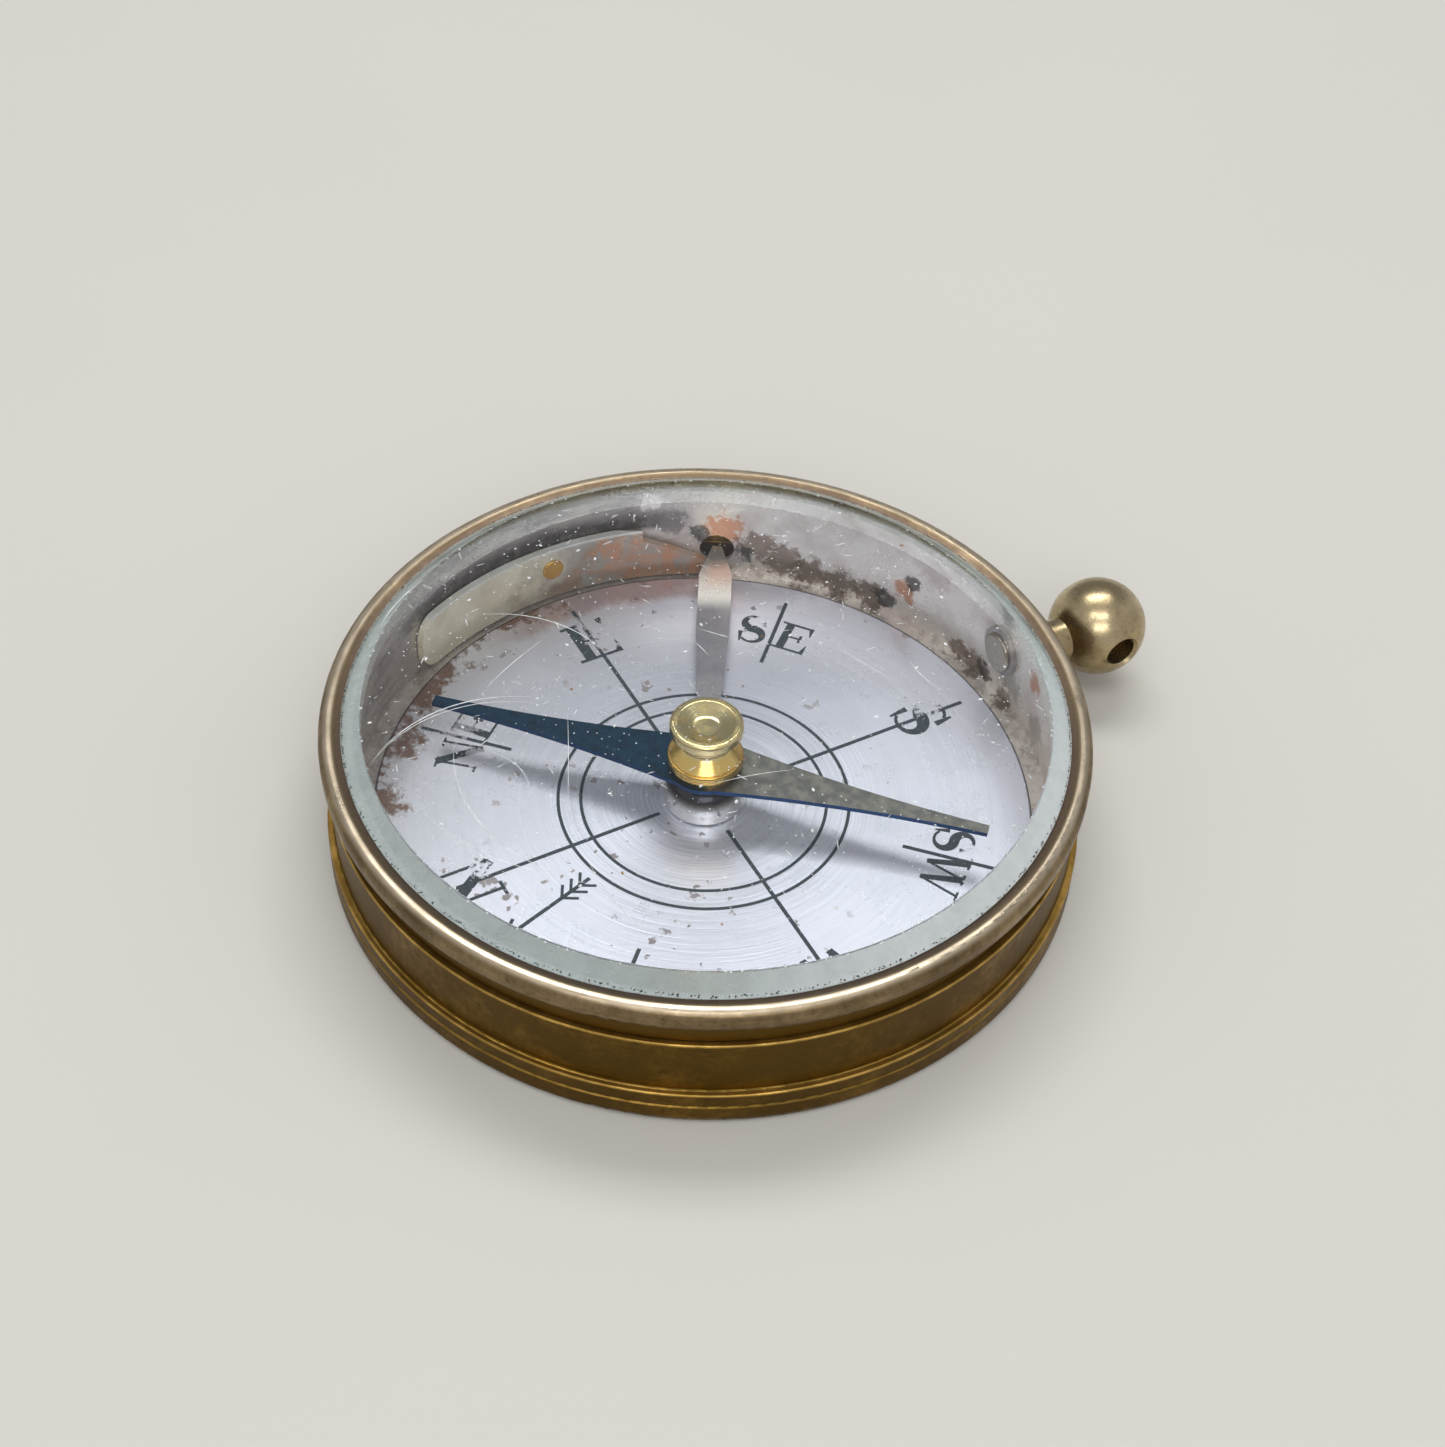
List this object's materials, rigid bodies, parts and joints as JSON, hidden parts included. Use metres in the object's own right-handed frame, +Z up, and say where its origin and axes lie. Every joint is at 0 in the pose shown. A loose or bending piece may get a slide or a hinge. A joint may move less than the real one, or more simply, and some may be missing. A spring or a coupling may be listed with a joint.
{
  "type": "pocket compass",
  "caption": "Round brass pocket compass: bevelled glass over a printed dial, capped needle on a steel pivot, sliding needle lock and a drilled pendant ball.",
  "frame": {"origin": "centre of the flat underside of the base cup", "axes": "+Z up through the glass, +Y from the centre to the pendant ball, +X to the right of the pendant seen from above"},
  "size_m": [0.0467, 0.0539, 0.0101],
  "materials": {
    "case_brass": "dark olive brown patina, worn brighter on the edges",
    "band_brass": "dark olive brown patina outside, tarnished silvering inside",
    "bezel_brass": "worn patina, bright crest",
    "bevelled_glass": "clear, polished bevel, fine scratches and dust",
    "spring_brass": "dull",
    "silvered_brass": "silvered, fine turned grain, printed letters, brown spots",
    "post_brass": "turned",
    "pivot_steel": "hardened and polished",
    "blued_steel": "north arm blued, south arm ground grey with blue edges",
    "polished_brass": "turned and polished",
    "agate": "polished",
    "lever_nickel": "silvered, worn",
    "wedge_brass": "silvered, tarnished towards brown",
    "button_brass": "worn patina",
    "pendant_brass": "smooth brown patina, rubbed bright",
    "washer_brass": "silvered, tarnished"
  },
  "bodies": {
    "case": {"base_cup": "case_brass", "case_band": "band_brass", "bezel_ring": "bezel_brass", "crystal": "bevelled_glass", "crystal_spring_ring": "spring_brass", "dial_plate": "silvered_brass", "pivot_post": "post_brass", "pivot_pin": "pivot_steel", "pendant_ball": "pendant_brass", "pendant_collar": "pendant_brass", "pendant_washer": "washer_brass"},
    "lock_slider": {"lock_wedge": "wedge_brass", "lock_button": "button_brass"},
    "lift_lever": {"lift_lever": "lever_nickel"},
    "needle": {"needle_blade": "blued_steel", "needle_cap": "polished_brass", "cap_jewel": "agate", "cap_washer": "polished_brass"}
  },
  "joints": [
    {"name": "lever_lift", "type": "slide", "parent": "case", "child": "lift_lever", "axis": [0, 0, 1], "range_m": [0, 0.00075]},
    {"name": "lock_slide", "type": "hinge", "parent": "case", "child": "lock_slider", "pos_m": [0, 0, 0.00311], "axis": [0, 0, -1], "range_deg": [0, 4.5]},
    {"name": "needle_spin", "type": "hinge", "parent": "lift_lever", "child": "needle", "pos_m": [0, 0, 0.0065], "axis": [0, 0, 1], "continuous": true}
  ],
  "couplings": [
    {"joint": "lock_slide", "follows": "lever_lift", "rad_per_m": 104.7}
  ]
}
